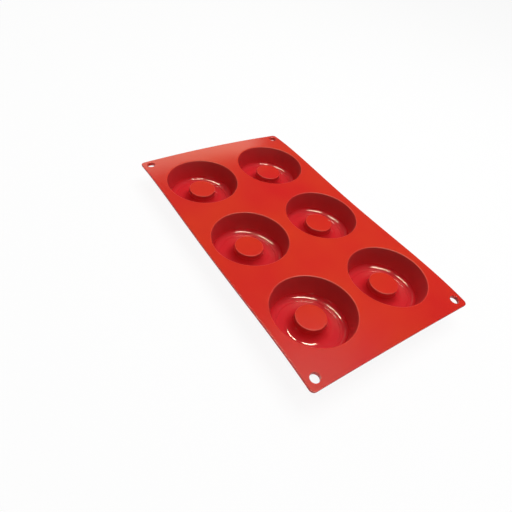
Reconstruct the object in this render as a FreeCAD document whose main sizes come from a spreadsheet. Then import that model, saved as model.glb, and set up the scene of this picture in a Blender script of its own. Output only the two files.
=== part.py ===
# Savarin mould for small ring cakes, moulded in one piece from silicone rubber.
# The origin lies under the sheet's centre, in the plane that the cup crests stand on.
# X runs across the sheet, Y along it, and Z up out of the open cavities.
import FreeCAD
import Part
import Sketcher

import math
import os

# Driving dimensions: lengths in millimetres, the draft in degrees
sizes = [
    ("columns", 2, "cups across the sheet"),
    ("rows", 3, "cups along the sheet"),
    ("mouthRadius", 36.0, "cavity where its wall meets the upper face"),
    ("cavityDepth", 23.0, "upper face to cavity floor"),
    ("wallThickness", 1.8, "cup wall, floor and pin"),
    ("wallDraft", 8.0, "lean of the cavity's outer wall"),
    ("rimRound", 1.0, "rounding of the cavity's rim"),
    ("floorRound", 5.5, "fillet from the outer wall to the floor"),
    ("rootRound", 0.8, "fillet where a cup leaves the web"),
    ("pinRadius", 13.5, "centre pin that forms the hole of the cake"),
    ("pinHeight", 12.5, "pin above the cavity floor"),
    ("pinRound", 0.8, "rounding of the pin's upper edge"),
    ("pinSocket", 0.65, "least upright wall of the hollow under the pin"),
    ("crestWidth", 5.5, "least flat ring that a cup stands on"),
    ("webAcross", 13.0, "between two mouths, along X"),
    ("webAlong", 22.0, "between two mouths, along Y"),
    ("borderAcross", 9.0, "mouth to the sheet's long edge"),
    ("borderAlong", 20.0, "mouth to the sheet's short edge"),
    ("webThickness", 1.4, "sheet between the cups"),
    ("cornerRadius", 4.0, "sheet corners in plan"),
    ("ribWidth", 4.0, "stiffening rib under the sheet's edge"),
    ("ribDepth", 1.0, "rib and bosses below the web"),
    ("edgeRound", 0.6, "rounding of the sheet's upper edge"),
    ("ribRound", 0.4, "rounding of the sheet's lower edge and of the eyelets"),
    ("holeRadius", 4.0, "hanging hole in each corner"),
    ("holeMargin", 4.5, "hole to both edges of the sheet"),
    ("holeRound", 0.5, "rounding of the holes' upper edge"),
    ("bossMargin", 1.0, "boss round a hole to both edges of the sheet"),
    ("eyeletWidth", 2.4, "raised ring round a hole, under its boss"),
    ("eyeletDepth", 1.0, "raised ring below the boss"),
]
value = {name: number for name, number, note in sizes}

# Expressions of the sheet's cells that several features share
pitchAcross = "(2 * Sizes.mouthRadius + Sizes.webAcross)"
pitchAlong = "(2 * Sizes.mouthRadius + Sizes.webAlong)"
sheetWidth = "(Sizes.columns * %s - Sizes.webAcross + 2 * Sizes.borderAcross)" % pitchAcross
sheetLength = "(Sizes.rows * %s - Sizes.webAlong + 2 * Sizes.borderAlong)" % pitchAlong
topHeight = "(Sizes.cavityDepth + Sizes.wallThickness)"
webHeight = "(%s - Sizes.webThickness)" % topHeight
pinTop = "(Sizes.wallThickness + Sizes.pinHeight)"
rimCentre = "(Sizes.mouthRadius + Sizes.rimRound * (1 / cos(Sizes.wallDraft) - tan(Sizes.wallDraft)))"
shoulderRadius = "(Sizes.floorRound + Sizes.wallThickness)"
shoulderCentre = (
    "(Sizes.mouthRadius - (Sizes.cavityDepth - Sizes.floorRound) * tan(Sizes.wallDraft)"
    " - Sizes.floorRound / cos(Sizes.wallDraft))"
)
rootCentre = (
    "(Sizes.mouthRadius + (Sizes.wallThickness + Sizes.rootRound) / cos(Sizes.wallDraft)"
    " - (Sizes.webThickness + Sizes.rootRound) * tan(Sizes.wallDraft))"
)
# The fillet from the pin to the floor fills the room that the crest and the pin's hollow leave
flareRadius = (
    "min(%s - Sizes.pinRadius - Sizes.crestWidth;"
    " Sizes.pinHeight - Sizes.wallThickness - Sizes.pinSocket)" % shoulderCentre
)
holeInset = "(Sizes.holeRadius + Sizes.holeMargin)"

# How far a cutting profile reaches past the face that it opens
lead = 1.0
# Two heights nearer than this are the same
tolerance = 1e-4

document = FreeCAD.newDocument("SavarinMould")
table = document.addObject("Spreadsheet::Sheet", "Sizes")
for row, (name, number, note) in enumerate(sizes, start=1):
    table.set("A%d" % row, name)
    table.set("B%d" % row, str(number))
    table.set("C%d" % row, note)
    table.setAlias("B%d" % row, name)
document.recompute()

body = document.addObject("PartDesign::Body", "SavarinMould")
body.Label = "savarin_mould"
body.Placement = FreeCAD.Placement()


def origin(role):
    for feature in body.Origin.OriginFeatures:
        if feature.Role == role:
            return feature
    raise ValueError(role)


def sketchOn(role, name, **offsets):
    """A sketch on an origin plane, shifted in its own axes by expressions."""
    sketch = body.newObject("Sketcher::SketchObject", name)
    sketch.AttachmentSupport = [(origin(role), "")]
    sketch.MapMode = "FlatFace"
    for axis, expression in offsets.items():
        sketch.setExpression("AttachmentOffset.Base." + axis, expression)
    return sketch


def addLine(sketch, start, end):
    segment = Part.LineSegment(FreeCAD.Vector(*start, 0), FreeCAD.Vector(*end, 0))
    return sketch.addGeometry(segment, False)


def addArc(sketch, centre, radius, startAngle, endAngle):
    """An arc that runs anticlockwise, so its start is at startAngle."""
    circle = Part.Circle(FreeCAD.Vector(*centre, 0), FreeCAD.Vector(0, 0, 1), radius)
    curve = Part.ArcOfCircle(circle, math.radians(startAngle), math.radians(endAngle))
    return sketch.addGeometry(curve, False)


def relate(sketch, *relations):
    for relation in relations:
        sketch.addConstraint(Sketcher.Constraint(*relation))


def drawnSize(sketch, kind, first, *rest):
    if kind == "Radius":
        return sketch.Geometry[first].Radius
    span = sketch.getPoint(*rest[1:]) - sketch.getPoint(first, rest[0])
    return span.x if kind == "DistanceX" else span.y


def measure(sketch, *dimensions):
    """Each dimension is a constraint's kind, its places and the expression that drives it."""
    for *places, expression in dimensions:
        drawn = drawnSize(sketch, *places)
        index = sketch.addConstraint(Sketcher.Constraint(*places, drawn))
        sketch.setExpression("Constraints[%d]" % index, expression)


def addPlate(sketch, width, length, radius, widthIs, lengthIs, radiusIs):
    """A rectangle about the origin with tangent corner arcs."""
    x, y = width / 2, length / 2
    inX, inY = x - radius, y - radius
    south = addLine(sketch, (-inX, -y), (inX, -y))
    southEast = addArc(sketch, (inX, -inY), radius, 270, 360)
    east = addLine(sketch, (x, -inY), (x, inY))
    northEast = addArc(sketch, (inX, inY), radius, 0, 90)
    north = addLine(sketch, (inX, y), (-inX, y))
    northWest = addArc(sketch, (-inX, inY), radius, 90, 180)
    west = addLine(sketch, (-x, inY), (-x, -inY))
    southWest = addArc(sketch, (-inX, -inY), radius, 180, 270)
    loop = [south, southEast, east, northEast, north, northWest, west, southWest]
    for first, second in zip(loop, loop[1:] + loop[:1]):
        relate(sketch, ("Tangent", first, 2, second, 1))
    relate(
        sketch,
        ("Horizontal", south),
        ("Horizontal", north),
        ("Vertical", east),
        ("Vertical", west),
        ("Equal", southEast, northEast),
        ("Equal", northEast, northWest),
        ("Equal", northWest, southWest),
        ("Symmetric", southEast, 3, northWest, 3, -1, 1),
    )
    measure(
        sketch,
        ("Radius", southEast, radiusIs),
        ("DistanceX", west, 1, east, 1, widthIs),
        ("DistanceY", south, 1, north, 1, lengthIs),
    )


def addCircle(sketch, radius, radiusIs):
    """A circle about the sketch's origin."""
    circle = Part.Circle(FreeCAD.Vector(), FreeCAD.Vector(0, 0, 1), radius)
    index = sketch.addGeometry(circle, False)
    relate(sketch, ("Coincident", index, 3, -1, 1))
    measure(sketch, ("Radius", index, radiusIs))


def addPad(name, sketch, lengthIs, downwards=False):
    pad = body.newObject("PartDesign::Pad", name)
    pad.Profile = sketch
    pad.Reversed = downwards
    pad.setExpression("Length", lengthIs)
    return pad


def addPattern(name, originals):
    """A grid of copies along X and Y, whose counts and steps the caller sets."""
    pattern = body.newObject("PartDesign::LinearPattern", name)
    pattern.Originals = originals
    pattern.Direction = (origin("X_Axis"), [""])
    pattern.Direction2 = (origin("Y_Axis"), [""])
    body.Tip = pattern
    return pattern


def edgesAround(shape, height, outer):
    """The edges of the level faces at a height: their outlines, or else their holes."""
    edges = []
    for face in shape.Faces:
        box = face.BoundBox
        if max(abs(box.ZMin - height), abs(box.ZMax - height)) < tolerance:
            wires = [wire for wire in face.Wires if wire.isSame(face.OuterWire) == outer]
            edges += [edge for wire in wires for edge in wire.Edges]
    return edges


def addFillet(name, base, height, outer, radiusIs):
    document.recompute()
    wanted = edgesAround(base.Shape, height, outer)
    fillet = body.newObject("PartDesign::Fillet", name)
    fillet.Base = (base, [
        "Edge%d" % number
        for number, edge in enumerate(base.Shape.Edges, start=1)
        if any(edge.isSame(other) for other in wanted)
    ])
    fillet.setExpression("Radius", radiusIs)
    return fillet


def addTurned(kind, name, sketch):
    turned = body.newObject("PartDesign::" + kind, name)
    turned.Profile = sketch
    turned.ReferenceAxis = (sketch, ["V_Axis"])
    turned.Angle = 360
    return turned


# Nominal places, from which each sketch starts before its constraints hold it
draft = math.radians(value["wallDraft"])
pitchX = 2 * value["mouthRadius"] + value["webAcross"]
pitchY = 2 * value["mouthRadius"] + value["webAlong"]
width = value["columns"] * pitchX - value["webAcross"] + 2 * value["borderAcross"]
length = value["rows"] * pitchY - value["webAlong"] + 2 * value["borderAlong"]
top = value["cavityDepth"] + value["wallThickness"]
web = top - value["webThickness"]
shoulder = value["floorRound"] + value["wallThickness"]
shoulderX = (
    value["mouthRadius"]
    - (value["cavityDepth"] - value["floorRound"]) * math.tan(draft)
    - value["floorRound"] / math.cos(draft)
)
flare = min(
    shoulderX - value["pinRadius"] - value["crestWidth"],
    value["pinHeight"] - value["wallThickness"] - value["pinSocket"],
)
flareX = value["pinRadius"] + flare
flareZ = value["wallThickness"] + flare
pinZ = value["wallThickness"] + value["pinHeight"]


def onDraft(centre, radius, side):
    """The point where the leaning wall touches a circle, on its outer or inner side."""
    return (
        centre[0] + side * radius * math.cos(draft),
        centre[1] - side * radius * math.sin(draft),
    )


# Sheet: a web with rounded corners, its upper face level with the cavity mouths
webSketch = sketchOn("XY_Plane", "WebSketch", z=webHeight)
addPlate(
    webSketch, width, length, value["cornerRadius"],
    sheetWidth, sheetLength, "Sizes.cornerRadius",
)
webPad = addPad("Web", webSketch, "Sizes.webThickness")

# Rib: a frame under the web's edge
ribSketch = sketchOn("XY_Plane", "RibSketch", z=webHeight)
innerWidth = width - 2 * value["ribWidth"]
innerLength = length - 2 * value["ribWidth"]
ribInnerRadius = max(value["cornerRadius"] - value["ribWidth"], value["ribRound"])
addPlate(
    ribSketch, width, length, value["cornerRadius"],
    sheetWidth, sheetLength, "Sizes.cornerRadius",
)
addPlate(
    ribSketch, innerWidth, innerLength, ribInnerRadius,
    sheetWidth + " - 2 * Sizes.ribWidth", sheetLength + " - 2 * Sizes.ribWidth",
    "max(Sizes.cornerRadius - Sizes.ribWidth; Sizes.ribRound)",
)
ribPad = addPad("Rib", ribSketch, "Sizes.ribDepth", downwards=True)

# Corner bosses with raised eyelets and hanging holes, repeated in the four corners
cornerX = "-%s / 2 + %s" % (sheetWidth, holeInset)
cornerY = "-%s / 2 + %s" % (sheetLength, holeInset)
bossSketch = sketchOn("XY_Plane", "BossSketch", x=cornerX, y=cornerY, z=webHeight)
bossRadius = value["holeRadius"] + value["holeMargin"] - value["bossMargin"]
addCircle(bossSketch, bossRadius, holeInset + " - Sizes.bossMargin")
bossPad = addPad("Boss", bossSketch, "Sizes.ribDepth", downwards=True)

eyeletSketch = sketchOn("XY_Plane", "EyeletSketch", x=cornerX, y=cornerY, z=webHeight)
eyeletRadius = value["holeRadius"] + value["eyeletWidth"]
addCircle(eyeletSketch, eyeletRadius, "Sizes.holeRadius + Sizes.eyeletWidth")
eyeletPad = addPad("Eyelet", eyeletSketch, "Sizes.ribDepth + Sizes.eyeletDepth", downwards=True)

holeSketch = sketchOn("XY_Plane", "HoleSketch", x=cornerX, y=cornerY, z=topHeight)
addCircle(holeSketch, value["holeRadius"], "Sizes.holeRadius")
hole = body.newObject("PartDesign::Pocket", "Hole")
hole.Profile = holeSketch
hole.setExpression("Length", "Sizes.webThickness + Sizes.ribDepth + Sizes.eyeletDepth")

corners = addPattern("Corners", [bossPad, eyeletPad, hole])
corners.setExpression("Length", "%s - 2 * %s" % (sheetWidth, holeInset))
corners.setExpression("Length2", "%s - 2 * %s" % (sheetLength, holeInset))
corners.Occurrences = 2
corners.Occurrences2 = 2

# Rounded edges of the sheet and of the holes
upperRound = addFillet("UpperRound", corners, top, True, "Sizes.edgeRound")
ribUnder = web - value["ribDepth"]
eyeletUnder = ribUnder - value["eyeletDepth"]
lowerRound = addFillet("LowerRound", upperRound, ribUnder, True, "Sizes.ribRound")
eyeletRound = addFillet("EyeletRound", lowerRound, eyeletUnder, True, "Sizes.ribRound")
holeRound = addFillet("HoleRound", eyeletRound, top, False, "Sizes.holeRound")
body.Tip = holeRound

# One cup, turned about its own axis at the sheet's first corner
cupPlace = {
    "x": "-(Sizes.columns - 1) * %s / 2" % pitchAcross,
    "z": "(Sizes.rows - 1) * %s / 2" % pitchAlong,
}

# Outside of the cup: crest, shoulder, leaning wall and the fillet to the web
cupSketch = sketchOn("XZ_Plane", "CupSketch", **cupPlace)
shoulderAt = (shoulderX, shoulder)
rootRadius = value["rootRound"]
rootAt = (
    value["mouthRadius"]
    + (value["wallThickness"] + rootRadius) / math.cos(draft)
    - (value["webThickness"] + rootRadius) * math.tan(draft),
    web - rootRadius,
)
insideWeb = web + value["webThickness"] / 2
leanDown, leanUp = -value["wallDraft"], 180 - value["wallDraft"]
crest = addLine(cupSketch, (0, 0), (shoulderX, 0))
shoulderArc = addArc(cupSketch, shoulderAt, shoulder, 270, 360 + leanDown)
outerWall = addLine(cupSketch, onDraft(shoulderAt, shoulder, 1), onDraft(rootAt, rootRadius, -1))
rootArc = addArc(cupSketch, rootAt, rootRadius, 90, leanUp)
riser = addLine(cupSketch, (rootAt[0], web), (rootAt[0], insideWeb))
lid = addLine(cupSketch, (rootAt[0], insideWeb), (0, insideWeb))
axis = addLine(cupSketch, (0, insideWeb), (0, 0))
relate(
    cupSketch,
    ("Coincident", crest, 1, -1, 1),
    ("Horizontal", crest),
    ("Tangent", crest, 2, shoulderArc, 1),
    ("Tangent", shoulderArc, 2, outerWall, 1),
    ("Tangent", outerWall, 2, rootArc, 2),
    ("Coincident", rootArc, 1, riser, 1),
    ("Vertical", rootArc, 3, rootArc, 1),
    ("Vertical", riser),
    ("Coincident", riser, 2, lid, 1),
    ("Horizontal", lid),
    ("Coincident", lid, 2, axis, 1),
    ("Vertical", axis),
    ("Coincident", axis, 2, crest, 1),
)
measure(
    cupSketch,
    ("Radius", shoulderArc, shoulderRadius),
    ("DistanceX", -1, 1, shoulderArc, 3, shoulderCentre),
    ("Radius", rootArc, "Sizes.rootRound"),
    ("DistanceX", -1, 1, rootArc, 3, rootCentre),
    ("DistanceY", -1, 1, riser, 1, webHeight),
    ("DistanceY", riser, 1, riser, 2, "Sizes.webThickness / 2"),
)
cup = addTurned("Revolution", "Cup", cupSketch)

# Hollow under the pin, which widens into the crest
wellSketch = sketchOn("XZ_Plane", "WellSketch", **cupPlace)
socketX = value["pinRadius"] - value["wallThickness"]
ceiling = pinZ - value["wallThickness"]
mouth = addLine(wellSketch, (0, -lead), (flareX, -lead))
mouthSide = addLine(wellSketch, (flareX, -lead), (flareX, 0))
wellFlare = addArc(wellSketch, (flareX, flareZ), flareZ, 180, 270)
socket = addLine(wellSketch, (socketX, flareZ), (socketX, ceiling))
underPin = addLine(wellSketch, (socketX, ceiling), (0, ceiling))
axis = addLine(wellSketch, (0, ceiling), (0, -lead))
relate(
    wellSketch,
    ("Horizontal", mouth),
    ("Coincident", mouth, 2, mouthSide, 1),
    ("Vertical", mouthSide),
    ("Coincident", mouthSide, 2, wellFlare, 2),
    ("Vertical", wellFlare, 3, wellFlare, 2),
    ("Tangent", wellFlare, 1, socket, 1),
    ("Vertical", socket),
    ("Coincident", socket, 2, underPin, 1),
    ("Horizontal", underPin),
    ("Coincident", underPin, 2, axis, 1),
    ("Vertical", axis),
    ("Coincident", axis, 2, mouth, 1),
    ("PointOnObject", axis, 1, -2),
    ("PointOnObject", mouthSide, 2, -1),
)
measure(
    wellSketch,
    ("DistanceY", mouth, 1, -1, 1, str(lead)),
    ("Radius", wellFlare, flareRadius + " + Sizes.wallThickness"),
    ("DistanceX", -1, 1, wellFlare, 3, "Sizes.pinRadius + " + flareRadius),
    ("DistanceY", -1, 1, underPin, 1, pinTop + " - Sizes.wallThickness"),
)
well = addTurned("Groove", "Well", wellSketch)

# Ring cavity about the pin: flare, floor, outer fillet, leaning wall and rim
cavitySketch = sketchOn("XZ_Plane", "CavitySketch", **cupPlace)
pinEdge = value["pinRound"]
pinEdgeAt = (value["pinRadius"] - pinEdge, pinZ - pinEdge)
floorZ = value["wallThickness"]
rim = value["rimRound"]
rimAt = (value["mouthRadius"] + rim * (1 / math.cos(draft) - math.tan(draft)), top - rim)
pinFace = addLine(cavitySketch, (0, pinZ), (pinEdgeAt[0], pinZ))
pinArc = addArc(cavitySketch, pinEdgeAt, pinEdge, 0, 90)
pinWall = addLine(cavitySketch, (value["pinRadius"], pinEdgeAt[1]), (value["pinRadius"], flareZ))
flareArc = addArc(cavitySketch, (flareX, flareZ), flare, 180, 270)
floor = addLine(cavitySketch, (flareX, floorZ), (shoulderX, floorZ))
floorArc = addArc(cavitySketch, shoulderAt, value["floorRound"], 270, 360 + leanDown)
innerWall = addLine(
    cavitySketch, onDraft(shoulderAt, value["floorRound"], 1), onDraft(rimAt, rim, -1)
)
rimArc = addArc(cavitySketch, rimAt, rim, 90, leanUp)
opening = addLine(cavitySketch, (rimAt[0], top), (rimAt[0], top + lead))
above = addLine(cavitySketch, (rimAt[0], top + lead), (0, top + lead))
axis = addLine(cavitySketch, (0, top + lead), (0, pinZ))
relate(
    cavitySketch,
    ("Horizontal", pinFace),
    ("Tangent", pinFace, 2, pinArc, 2),
    ("Tangent", pinArc, 1, pinWall, 1),
    ("Vertical", pinWall),
    ("Tangent", pinWall, 2, flareArc, 1),
    ("Tangent", flareArc, 2, floor, 1),
    ("Horizontal", floor),
    ("Tangent", floor, 2, floorArc, 1),
    ("Tangent", floorArc, 2, innerWall, 1),
    ("Tangent", innerWall, 2, rimArc, 2),
    ("Coincident", rimArc, 1, opening, 1),
    ("Vertical", rimArc, 3, rimArc, 1),
    ("Vertical", opening),
    ("Coincident", opening, 2, above, 1),
    ("Horizontal", above),
    ("Coincident", above, 2, axis, 1),
    ("Vertical", axis),
    ("Coincident", axis, 2, pinFace, 1),
    ("PointOnObject", pinFace, 1, -2),
)
measure(
    cavitySketch,
    ("DistanceY", -1, 1, pinFace, 1, pinTop),
    ("DistanceX", -1, 1, pinWall, 1, "Sizes.pinRadius"),
    ("Radius", pinArc, "Sizes.pinRound"),
    ("Radius", flareArc, flareRadius),
    ("DistanceY", -1, 1, floor, 1, "Sizes.wallThickness"),
    ("Radius", floorArc, "Sizes.floorRound"),
    ("DistanceX", -1, 1, floorArc, 3, shoulderCentre),
    ("Radius", rimArc, "Sizes.rimRound"),
    ("DistanceX", -1, 1, rimArc, 3, rimCentre),
    ("DistanceY", -1, 1, opening, 1, topHeight),
    ("DistanceY", opening, 1, opening, 2, str(lead)),
)
cavity = addTurned("Groove", "Cavity", cavitySketch)

# The cups stand in a grid about the sheet's centre
cups = addPattern("Cups", [cup, well, cavity])
cups.setExpression("Length", "(Sizes.columns - 1) * %s" % pitchAcross)
cups.setExpression("Length2", "(Sizes.rows - 1) * %s" % pitchAlong)
cups.Occurrences = value["columns"]
cups.Occurrences2 = value["rows"]
cups.setExpression("Occurrences", "Sizes.columns")
cups.setExpression("Occurrences2", "Sizes.rows")
document.recompute()

# Nothing is written unless every feature worked
for item in document.Objects:
    if {"Invalid", "Error"} & set(item.State):
        raise RuntimeError("%s failed: %s" % (item.Name, item.getStatusString()))
for sketch in document.findObjects("Sketcher::SketchObject"):
    if not sketch.FullyConstrained:
        raise RuntimeError(sketch.Name + " is not fully constrained")
shape = body.Shape
if shape.isNull() or not shape.isValid() or len(shape.Solids) != 1:
    raise RuntimeError("the mould is not one valid solid")

os.makedirs("parts", exist_ok=True)
shape.exportStep("parts/%s.step" % body.Label)
box = shape.optimalBoundingBox(False, False)
measures = (body.Label, box.XLength, box.YLength, box.ZLength, shape.Volume)
print("%s %.2f x %.2f x %.2f mm, %.0f mm3" % measures)
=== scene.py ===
import math

import bmesh
import bpy
from mathutils import Matrix, Vector


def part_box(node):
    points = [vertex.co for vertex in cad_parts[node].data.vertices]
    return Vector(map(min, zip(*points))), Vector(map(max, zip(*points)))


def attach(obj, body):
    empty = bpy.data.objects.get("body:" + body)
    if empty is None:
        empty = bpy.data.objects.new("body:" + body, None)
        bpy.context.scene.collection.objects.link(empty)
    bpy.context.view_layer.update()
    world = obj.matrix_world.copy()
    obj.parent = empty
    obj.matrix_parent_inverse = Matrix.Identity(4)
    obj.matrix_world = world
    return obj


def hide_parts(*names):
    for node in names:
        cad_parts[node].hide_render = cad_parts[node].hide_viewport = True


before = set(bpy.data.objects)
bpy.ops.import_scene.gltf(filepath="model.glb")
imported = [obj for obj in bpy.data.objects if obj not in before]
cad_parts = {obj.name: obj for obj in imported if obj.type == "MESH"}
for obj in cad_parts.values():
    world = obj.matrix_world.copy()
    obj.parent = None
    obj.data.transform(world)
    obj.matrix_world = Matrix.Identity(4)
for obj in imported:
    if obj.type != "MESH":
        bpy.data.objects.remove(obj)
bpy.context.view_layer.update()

mm = 0.001
joined = 1e-6  # points nearer than this are one point
arcProfile = 0.5  # makes a bevel a circular arc
lowCorner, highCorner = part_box("savarin_mould")
print("frame loaded:", [round(side / mm, 2) for side in highCorner - lowCorner], "mm")

# The sheet, whose outer size comes from the frame
sheet = {
    "width": highCorner.x - lowCorner.x,
    "length": highCorner.y - lowCorner.y,
    "height": highCorner.z,
    "web": 1.4 * mm,  # thickness between the cups
    "corner": 4.0 * mm,  # corner radius in plan
    "cornerSteps": 10,
    "upperRound": 0.6 * mm,
    "lowerRound": 0.4 * mm,
    "edgeSteps": 5,
    "ribWidth": 4.0 * mm,
    "ribDepth": 1.0 * mm,
    "ribRound": 0.25 * mm,
    "ribSteps": 3,
    "collar": 0.4 * mm,  # flat strip beside each rounding
    "weave": 7.5 * mm,  # between the cuts over the flat areas, which let them bend
}

# The hanging hole in each corner, its boss and the raised eyelet under it
hole = {
    "radius": 4.0 * mm,
    "inset": 8.5 * mm,  # centre to both edges of the sheet
    "upperRound": 0.5 * mm,
    "bossRadius": 7.5 * mm,
    "bossSteps": 12,  # with more, the insets pass a step where the boss meets the rib
    "eyeletRadius": 6.4 * mm,
    "eyeletDepth": 1.0 * mm,
    "eyeletRoot": 0.15 * mm,
    "fineSteps": 3,  # in each of its smallest roundings
    "roundSteps": 4,
    "facets": 48,
}

# One ring-shaped cup
cup = {
    "columns": 2,
    "rows": 3,
    "pitchAcross": 85 * mm,
    "pitchAlong": 94 * mm,
    "mouthRadius": 36 * mm,
    "depth": 23 * mm,
    "wall": 1.8 * mm,
    "draft": math.radians(8),
    "rimRound": 1.0 * mm,
    "floorRound": 5.5 * mm,
    "stepRadius": 27.0 * mm,  # faint ring where the floor meets its fillet
    "stepWidth": 0.3 * mm,
    "stepHeight": 0.4 * mm,
    "stepRound": 0.4 * mm,
    "rootRound": 0.8 * mm,
    "pinRadius": 13.5 * mm,
    "pinHeight": 12.5 * mm,
    "pinRound": 0.8 * mm,
    "flare": 8.986 * mm,  # fillet from the pin to the floor
    "polishRise": 8 * mm,  # height of the wall over which polished turns to matte
    "lip": 0.5 * mm,  # upper part of each rounded edge that keeps the upper face's red, outside the cavity's painted shade
    "tightSteps": 5,  # in the roundings of the pin's top and of the cup's root
    "wideSteps": 12,  # in the fillets around the floor, inside and outside
    "flareSteps": 14,
    "rimSteps": 6,
    "ringSteps": 2,
    "socketSteps": 3,
    "facets": 96,
}

# How the soft sheet lies: the terms of its upper face's rise, with half its width and length as units
drape = {
    "middle": -1.0 * mm,
    "alongSquared": 9.62 * mm,
    "alongCubed": 0.66 * mm,
    "alongFourth": -7.99 * mm,
    "twist": 0.72 * mm,
    "corners": -2.23 * mm,
    "acrossAlong": -0.30 * mm,
}


def onlyVerts(items):
    return [item for item in items if isinstance(item, bmesh.types.BMVert)]


def eachOnce(items):
    # Drops what repeats and keeps the order
    return list(dict.fromkeys(items))


def roundCorner(bm, point, radius, steps):
    first, second = [edge.other_vert(point).co - point.co for edge in point.link_edges]
    reach = radius / math.tan(first.angle(second) / 2)
    bmesh.ops.bevel(
        bm, geom=[point], offset=reach, offset_type="OFFSET", segments=steps,
        profile=arcProfile, affect="VERTICES", material=-1,
    )


def drawProfile(bm, corners):
    # Each corner is its distance from the axis, its height, and the radius and steps of its rounding
    points = [bm.verts.new((distance, 0, height)) for distance, height, radius, steps in corners]
    for start, end in zip(points, points[1:]):
        bm.edges.new((start, end))
    for point, (distance, height, radius, steps) in zip(points, corners):
        if radius:
            roundCorner(bm, point, radius, steps)


def addMarks(bm):
    # Marks on each point: whether it lines a cavity, whether it takes the cavity's darker red, which
    # is painted shade, and its polish, from -1 for matte over 0 for satin to 1 for glossy
    return [bm.verts.layers.float.new(name) for name in ("lining", "depth", "polish")]


def turnedMesh(name, profiles, facets, faceLevels=(), floor=0):
    # Each profile says whether it lines the cavity, and gives its corners
    bm = bmesh.new()
    lining, depth, polish = addMarks(bm)
    for lines, profile in profiles:
        others = set(bm.verts)
        drawProfile(bm, profile)
        for point in set(bm.verts) - others:
            offFaces = min([abs(point.co.z - level) for level in faceLevels], default=0)
            reach = cup["pinHeight"] if point.co.x < cup["stepRadius"] else cup["polishRise"]
            fade = min(1, (point.co.z - floor) / reach)
            point[lining] = lines
            # Cavity points away from the upper faces take the darker red that paints shade into the
            # cavities
            point[depth] = lines * (offFaces > cup["lip"])
            point[polish] = lines * (offFaces > joined) * (1 - 2 * fade)
    bmesh.ops.spin(
        bm, geom=bm.verts[:] + bm.edges[:], cent=(0, 0, 0), axis=(0, 0, 1), dvec=(0, 0, 0),
        angle=math.tau, steps=facets, use_merge=True,
    )
    bmesh.ops.remove_doubles(bm, verts=bm.verts, dist=joined)
    mesh = bpy.data.meshes.new(name)
    bm.to_mesh(mesh)
    bm.free()
    return mesh


def addCopies(bm, mesh, places):
    for place in places:
        count = len(bm.verts)
        bm.from_mesh(mesh)
        bm.verts.ensure_lookup_table()
        bmesh.ops.translate(bm, verts=bm.verts[count:], vec=place)


def cupMesh():
    top = sheet["height"]
    lean = math.tan(cup["draft"])
    floor = top - cup["depth"]
    webUnder = top - sheet["web"]
    raised = floor + cup["stepHeight"]
    pinTop = floor + cup["pinHeight"]
    thick = cup["wall"] / math.cos(cup["draft"])
    socket = cup["pinRadius"] - cup["wall"]
    foot = cup["mouthRadius"] - top * lean + thick
    root = cup["mouthRadius"] - sheet["web"] * lean + thick
    inside = [
        (0, pinTop, 0, 0),
        (cup["pinRadius"], pinTop, cup["pinRound"], cup["tightSteps"]),
        (cup["pinRadius"], floor, cup["flare"], cup["flareSteps"]),
        (cup["stepRadius"], floor, cup["stepRound"], cup["ringSteps"]),
        (cup["stepRadius"] + cup["stepWidth"], raised, cup["stepRound"], cup["ringSteps"]),
        (cup["mouthRadius"] - (top - raised) * lean, raised, cup["floorRound"], cup["wideSteps"]),
        (cup["mouthRadius"], top, cup["rimRound"], cup["rimSteps"]),
        (cup["mouthRadius"] + cup["rimRound"] + sheet["collar"], top, 0, 0),
    ]
    outside = [
        (0, pinTop - cup["wall"], 0, 0),
        (socket, pinTop - cup["wall"], cup["pinRound"] / 2, cup["socketSteps"]),
        (socket, floor - cup["wall"], cup["flare"] + cup["wall"], cup["wideSteps"]),
        (foot, 0, cup["floorRound"] + cup["wall"], cup["wideSteps"]),
        (root, webUnder, cup["rootRound"], cup["tightSteps"]),
        (root + cup["rootRound"] + sheet["collar"], webUnder, 0, 0),
    ]
    return turnedMesh("cup", [(1, inside), (0, outside)], cup["facets"], (top, pinTop), floor)


def holeMesh():
    top = sheet["height"]
    under = top - sheet["web"] - sheet["ribDepth"]
    foot = under - hole["eyeletDepth"]
    wall = [
        (hole["eyeletRadius"] + 2 * hole["eyeletRoot"], under, 0, 0),
        (hole["eyeletRadius"], under, hole["eyeletRoot"], hole["fineSteps"]),
        (hole["eyeletRadius"], foot, sheet["lowerRound"], hole["roundSteps"]),
        (hole["radius"], foot, sheet["ribRound"], hole["fineSteps"]),
        (hole["radius"], top, hole["upperRound"], hole["roundSteps"]),
        (hole["radius"] + hole["upperRound"] + sheet["collar"], top, 0, 0),
    ]
    return turnedMesh("hole", [(0, wall)], hole["facets"])


def levelEdges(bm, height):
    return [edge for edge in bm.edges if all(abs(end.co.z - height) < joined for end in edge.verts)]


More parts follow.
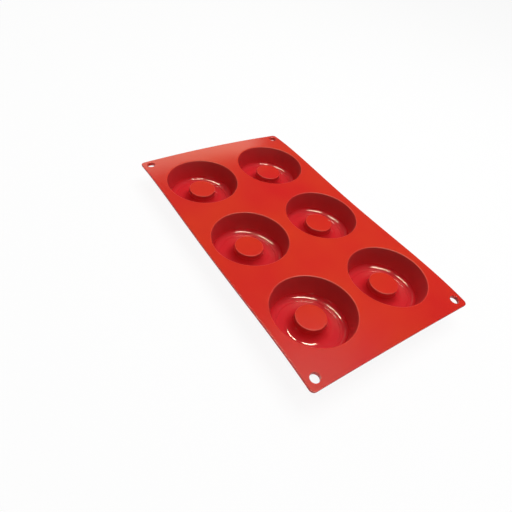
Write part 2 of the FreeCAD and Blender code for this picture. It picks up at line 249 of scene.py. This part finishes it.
def addBand(bm):
    # The sheet's rounded outer edge: a plate whose level faces are then opened
    plate = bmesh.ops.create_grid(bm, x_segments=1, y_segments=1, size=0.5)["verts"]
    bmesh.ops.scale(bm, vec=(sheet["width"], sheet["length"], 1), verts=plate)
    bmesh.ops.translate(bm, vec=(0, 0, sheet["height"]), verts=plate)
    bmesh.ops.bevel(
        bm, geom=plate, offset=sheet["corner"], offset_type="OFFSET",
        segments=sheet["cornerSteps"], profile=arcProfile, affect="VERTICES", material=-1,
    )
    upper = bm.faces[:]
    lower = bmesh.ops.extrude_face_region(bm, geom=upper)["geom"]
    thickness = sheet["web"] + sheet["ribDepth"]
    bmesh.ops.translate(bm, vec=(0, 0, -thickness), verts=onlyVerts(lower))
    under = sheet["height"] - thickness
    for height, rounding in ((sheet["height"], sheet["upperRound"]), (under, sheet["lowerRound"])):
        bmesh.ops.bevel(
            bm, geom=levelEdges(bm, height), offset=rounding, offset_type="OFFSET",
            segments=sheet["edgeSteps"], profile=arcProfile, affect="EDGES", material=-1,
        )
    level = sorted(bm.faces, key=lambda face: face.calc_area())[-2:]
    bmesh.ops.inset_region(
        bm, faces=level, thickness=sheet["collar"], use_even_offset=True, use_boundary=True,
    )
    bmesh.ops.delete(bm, geom=level, context="FACES_ONLY")


def addRecess(bm):
    # The hollow inside the rib and bosses: a quarter of its outline is drawn and mirrored twice
    under = sheet["height"] - sheet["web"] - sheet["ribDepth"]
    edge = sheet["ribRound"]
    ribX = sheet["width"] / 2 - sheet["ribWidth"] + edge
    ribY = sheet["length"] / 2 - sheet["ribWidth"] + edge
    centre = Vector((sheet["width"] / 2 - hole["inset"], sheet["length"] / 2 - hole["inset"], under))
    boss = hole["bossRadius"] - edge
    startY = centre.y - math.sqrt(boss ** 2 - (ribX - centre.x) ** 2)
    endX = centre.x - math.sqrt(boss ** 2 - (ribY - centre.y) ** 2)
    startAngle = math.atan2(startY - centre.y, ribX - centre.x)
    endAngle = math.atan2(ribY - centre.y, endX - centre.x) - math.tau
    others = set(bm.verts)
    start = bm.verts.new((ribX, startY, under))
    bm.edges.new((bm.verts.new((ribX, 0, under)), start))
    arc = bmesh.ops.spin(
        bm, geom=[start], cent=centre, axis=(0, 0, 1), dvec=(0, 0, 0),
        angle=endAngle - startAngle, steps=hole["bossSteps"], use_merge=False,
    )
    end = onlyVerts(arc["geom_last"])[0]
    bm.edges.new((end, bm.verts.new((0, ribY, under))))
    for axis in ("X", "Y"):
        outline = [point for point in bm.verts if point not in others]
        lines = eachOnce(edge for point in outline for edge in point.link_edges)
        bmesh.ops.mirror(bm, geom=outline + lines, matrix=Matrix(), merge_dist=joined, axis=axis)
    outline = [point for point in bm.verts if point not in others]
    lines = eachOnce(edge for point in outline for edge in point.link_edges)
    hollow = bmesh.ops.contextual_create(bm, geom=lines)["faces"]
    bmesh.ops.recalc_face_normals(bm, faces=hollow)
    if hollow[0].normal.z < 0:
        bmesh.ops.reverse_faces(bm, faces=hollow)
    # Over the rib's edge, up its wall and into the web
    turn = math.pi / 2 / sheet["ribSteps"]
    bends = [step * turn for step in range(sheet["ribSteps"] + 1)]
    rolls = [(edge * math.sin(bend), edge * (1 - math.cos(bend))) for bend in bends]
    roots = [(edge * (1 - math.cos(bend)), edge * math.sin(bend)) for bend in bends]
    steps = []
    for path in (rolls, roots):
        steps += [(end[0] - begin[0], end[1] - begin[1]) for begin, end in zip(path, path[1:])]
    steps.insert(sheet["ribSteps"], (0, sheet["ribDepth"] - 2 * edge))
    steps.append((sheet["collar"], 0))
    for inwards, upwards in steps:
        bmesh.ops.inset_region(
            bm, faces=hollow, thickness=inwards, depth=upwards,
            use_even_offset=True, use_boundary=True,
        )
    bmesh.ops.delete(bm, geom=hollow, context="FACES_ONLY")


def cutGrid(bm, parts):
    # Cuts the given geometry along a grid of upright planes, so that it can bend
    for along, span in ((Vector((1, 0, 0)), sheet["width"]), (Vector((0, 1, 0)), sheet["length"])):
        count = round(span / sheet["weave"])
        for step in range(1, count):
            place = along * span * (step / count - 0.5)
            cut = bmesh.ops.bisect_plane(bm, geom=parts, dist=joined, plane_co=place, plane_no=along)
            parts = cut["geom"]


def fillLevel(bm, height):
    # Closes the flat area between the open loops at one height
    loops = [edge for edge in levelEdges(bm, height) if len(edge.link_faces) < 2]
    made = bmesh.ops.triangle_fill(bm, use_beauty=True, edges=loops, normal=(0, 0, 1))
    flat = [item for item in made["geom"] if isinstance(item, bmesh.types.BMFace)]
    edges = eachOnce(edge for face in flat for edge in face.edges)
    cutGrid(bm, flat + edges + eachOnce(point for edge in edges for point in edge.verts))


def riseAt(x, y):
    across = x / (sheet["width"] / 2)
    along = y / (sheet["length"] / 2)
    return (
        drape["middle"]
        + drape["alongSquared"] * along ** 2
        + drape["alongCubed"] * along ** 3
        + drape["alongFourth"] * along ** 4
        + drape["twist"] * across * along
        + drape["corners"] * (across * along) ** 2
        + drape["acrossAlong"] * across ** 2 * along
    )


def layDown(bm):
    # The upper face bows, its cavities go with it, and the crests stay on the table
    lining = bm.verts.layers.float["lining"]
    apart = mm  # distance over which the slope is measured
    for point in bm.verts:
        x, y, z = point.co
        rise = riseAt(x, y)
        below = sheet["height"] - z
        follow = max(point[lining], z / sheet["height"])
        leanX = (riseAt(x + apart, y) - rise) / apart
        leanY = (riseAt(x, y + apart) - rise) / apart
        point.co += Vector((leanX * below, leanY * below, rise * follow))


def centredRow(count, pitch):
    return [(step - (count - 1) / 2) * pitch for step in range(count)]


def buildMould():
    bm = bmesh.new()
    addMarks(bm)
    addBand(bm)
    addRecess(bm)
    cutGrid(bm, bm.verts[:] + bm.edges[:] + bm.faces[:])
    across = centredRow(cup["columns"], cup["pitchAcross"])
    along = centredRow(cup["rows"], cup["pitchAlong"])
    addCopies(bm, cupMesh(), [(x, y, 0) for x in across for y in along])
    holeX = sheet["width"] / 2 - hole["inset"]
    holeY = sheet["length"] / 2 - hole["inset"]
    addCopies(bm, holeMesh(), [(x, y, 0) for x in (-holeX, holeX) for y in (-holeY, holeY)])
    webUnder = sheet["height"] - sheet["web"]
    for height in (sheet["height"], webUnder, webUnder - sheet["ribDepth"]):
        fillLevel(bm, height)
    layDown(bm)
    bmesh.ops.recalc_face_normals(bm, faces=bm.faces)
    faults = sum(not edge.is_contiguous for edge in bm.edges)
    print("mould:", len(bm.faces), "faces,", faults, "edges that are open or join faces turned apart")
    mesh = bpy.data.meshes.new("mouldSkin")
    bm.to_mesh(mesh)
    bm.free()
    mesh.shade_smooth()
    mould = bpy.data.objects.new("mouldSkin", mesh)
    bpy.context.scene.collection.objects.link(mould)
    mould.modifiers.new("evenShading", "WEIGHTED_NORMAL")
    return mould


class Value:
    # A node's output that takes part in plain sums
    def __init__(self, tree, socket):
        self.tree = tree
        self.socket = socket

    def sum(self, operation, first, second):
        return self.tree.add("ShaderNodeMath", {"operation": operation}, {0: first, 1: second})

    def __add__(self, other):
        return self.sum("ADD", self, other)

    def __radd__(self, other):
        return self.sum("ADD", other, self)

    def __sub__(self, other):
        return self.sum("SUBTRACT", self, other)

    def __rsub__(self, other):
        return self.sum("SUBTRACT", other, self)

    def __mul__(self, other):
        return self.sum("MULTIPLY", self, other)

    def __rmul__(self, other):
        return self.sum("MULTIPLY", other, self)


class Tree:
    def __init__(self, owner):
        owner.use_nodes = True
        self.nodes = owner.node_tree.nodes
        self.links = owner.node_tree.links
        self.nodes.clear()

    def add(self, kind, settings, inputs, output=0):
        node = self.nodes.new(kind)
        for name, setting in settings.items():
            setattr(node, name, setting)
        for place, given in inputs.items():
            if isinstance(given, Value):
                self.links.new(given.socket, node.inputs[place])
            else:
                node.inputs[place].default_value = given
        return Value(self, node.outputs[output]) if node.outputs else None


# The rubber: its cavities' floors are polished, their walls are matte and its other faces lie
# between; its cavities are painted a darker red as shade
silicone = {
    "red": (0.705, 0.037, 0.011, 1),
    "deepRed": (0.675, 0.013, 0.011, 1),
    "shadedCavityRed": (0.59, 0.018, 0.025, 1),
    # darker, cooler red painted on the cavity linings as shade
    "cloudScale": 12,  # tints per metre
    "noiseSeed": 1,
    "cloudContrast": 3,
    "cloudRoughness": 0.06,  # how much the tints change the roughness
    "satin": 0.21,
    "shine": 0.13,  # how much smoother polished is than satin
    "dullness": 0.36,  # how much rougher matte is than satin
    "grainScale": 1400,
    "grainHeight": 0.012 * mm,
    "grainLoss": 0.9,  # share of the grain that polishing takes off
    "rippleScale": 45,
    "rippleHeight": 0.02 * mm,
    "noiseDetail": 2.0,
    "noiseMiddle": 0.5,
    "refraction": 1.46,
}


def mixColours(tree, share, first, second):
    return tree.add("ShaderNodeMix", {"data_type": "RGBA"}, {0: share, 6: first, 7: second}, 2)


def siliconeFinish():
    finish = bpy.data.materials.new("redSilicone")
    tree = Tree(finish)
    place = tree.add("ShaderNodeTexCoord", {}, {}, "Object")
    depth, polish = [
        tree.add("ShaderNodeAttribute", {"attribute_name": name}, {}, "Fac")
        for name in ("depth", "polish")
    ]
    noise = {"Vector": place, "W": silicone["noiseSeed"], "Detail": silicone["noiseDetail"]}
    cloud, grain, ripple = [
        tree.add(
            "ShaderNodeTexNoise", {"noise_dimensions": "4D"},
            {**noise, "Scale": silicone[scale]}, "Fac",
        )
        for scale in ("cloudScale", "grainScale", "rippleScale")
    ]
    tint = cloud - silicone["noiseMiddle"]
    shade = tint * silicone["cloudContrast"] + silicone["noiseMiddle"]
    face = mixColours(tree, shade, silicone["red"], silicone["deepRed"])
    # Painted shade: the cavity linings get the darker, cooler red in place of the face's red
    colour = mixColours(tree, depth, face, silicone["shadedCavityRed"])
    # The rougher of both holds: shine where the polish is above 0, dullness where it is below
    dull = silicone["satin"] - polish * silicone["dullness"]
    smooth = silicone["satin"] - polish * silicone["shine"]
    roughness = dull.sum("MAXIMUM", dull, smooth) + tint * silicone["cloudRoughness"]
    grainLeft = 1 - polish * silicone["grainLoss"]
    height = grain * silicone["grainHeight"] * grainLeft + ripple * silicone["rippleHeight"]
    normal = tree.add("ShaderNodeBump", {}, {"Height": height, "Strength": 1.0, "Distance": 1.0})
    shader = tree.add(
        "ShaderNodeBsdfPrincipled", {},
        {
            "Base Color": colour, "Roughness": roughness, "Normal": normal,
            "IOR": silicone["refraction"],
        },
    )
    tree.add("ShaderNodeOutputMaterial", {}, {"Surface": shader})
    return finish


# A pale table that shows white, and keeps some of the mould's shadow
table = {"size": 8, "tone": 0.97, "glow": 0.92}


def buildTable():
    bm = bmesh.new()
    bmesh.ops.create_grid(bm, x_segments=1, y_segments=1, size=table["size"] / 2)
    mesh = bpy.data.meshes.new("table")
    bm.to_mesh(mesh)
    bm.free()
    floor = bpy.data.objects.new("table", mesh)
    bpy.context.scene.collection.objects.link(floor)
    finish = bpy.data.materials.new("tableWhite")
    tree = Tree(finish)
    seen = tree.add("ShaderNodeLightPath", {}, {}, "Is Camera Ray")
    mirrored = tree.add("ShaderNodeLightPath", {}, {}, "Is Glossy Ray")
    matte = tree.add("ShaderNodeBsdfDiffuse", {}, {"Color": (table["tone"],) * 3 + (1,)})
    white = tree.add("ShaderNodeEmission", {}, {"Color": (1, 1, 1, 1), "Strength": 1.0})
    glow = (seen + mirrored) * table["glow"]
    shader = tree.add("ShaderNodeMixShader", {}, {0: glow, 1: matte, 2: white})
    tree.add("ShaderNodeOutputMaterial", {}, {"Surface": shader})
    mesh.materials.append(finish)
    return floor


# Soft studio light: lamps by azimuth, elevation and turn in degrees, distance and size in metres
studio = {
    "world": 0.12,
    "lamps": {
        "keyPanel": {
            "azimuth": 5, "elevation": 76, "distance": 1.2, "turn": 0,
            "across": 0.8, "deep": 0.8, "power": 13.5, "tint": (1, 1, 1),
            "diffuse": True, "glossy": False,
        },
        "rightStrip": {
            "azimuth": 141.5, "elevation": 66.5, "distance": 0.75, "turn": 44,
            "across": 0.38, "deep": 0.08, "power": 5.1, "tint": (1, 0.94, 0.7),
            "diffuse": False, "glossy": True,
        },
        "leftStrip": {
            "azimuth": 264, "elevation": 61, "distance": 0.66, "turn": -29,
            "across": 0.38, "deep": 0.08, "power": 5.8, "tint": (1, 0.94, 0.7),
            "diffuse": False, "glossy": True,
        },
        "farWindow": {
            "azimuth": 80, "elevation": 23, "distance": 1.6, "turn": 0,
            "across": 1.4, "deep": 0.45, "power": 3, "tint": (1, 0.96, 0.76),
            "diffuse": True, "glossy": True,
        },
    },
}


def lightStudio():
    world = bpy.data.worlds.new("studio")
    bpy.context.scene.world = world
    tree = Tree(world)
    seen = tree.add("ShaderNodeLightPath", {}, {}, "Is Camera Ray")
    strength = studio["world"] + seen * (1 - studio["world"])
    air = tree.add("ShaderNodeBackground", {}, {"Color": (1, 1, 1, 1), "Strength": strength})
    tree.add("ShaderNodeOutputWorld", {}, {"Surface": air})
    for name, lamp in studio["lamps"].items():
        light = bpy.data.lights.new(name, "AREA")
        light.shape = "RECTANGLE"
        light.size = lamp["across"]
        light.size_y = lamp["deep"]
        light.energy = lamp["power"]
        light.color = lamp["tint"]
        holder = bpy.data.objects.new(name, light)
        bpy.context.scene.collection.objects.link(holder)
        azimuth = math.radians(lamp["azimuth"])
        elevation = math.radians(lamp["elevation"])
        level = math.cos(elevation)
        away = Vector((math.cos(azimuth) * level, math.sin(azimuth) * level, math.sin(elevation)))
        facing = away.to_track_quat("Z", "Y").to_matrix()
        holder.location = away * lamp["distance"]
        turned = facing @ Matrix.Rotation(math.radians(lamp["turn"]), 3, "Z")
        holder.rotation_euler = turned.to_euler()
        holder.visible_diffuse = lamp["diffuse"]
        holder.visible_glossy = lamp["glossy"]


# The photograph's view of the mould
view = {
    "place": Vector((-222.6, -224.7, 277.9)) * mm,
    "target": Vector((-51.7, -23.3, 24.8)) * mm,
    "roll": 10.79,  # degrees
    "lens": 29.44,  # millimetres
}


def placeCamera():
    camera = bpy.data.objects.new("camera", bpy.data.cameras.new("camera"))
    bpy.context.scene.collection.objects.link(camera)
    camera.data.lens = view["lens"]
    camera.location = view["place"]
    level = (view["target"] - view["place"]).to_track_quat("-Z", "Y").to_matrix()
    turned = level @ Matrix.Rotation(math.radians(view["roll"]), 3, "Z")
    camera.rotation_euler = turned.to_euler()
    bpy.context.scene.camera = camera


mould = buildMould()
mould.data.materials.append(siliconeFinish())
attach(mould, "root")
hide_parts("savarin_mould")
print("mould finished")

buildTable()
lightStudio()
placeCamera()
bpy.context.scene.view_settings.view_transform = "Standard"
print("table, light and camera placed")
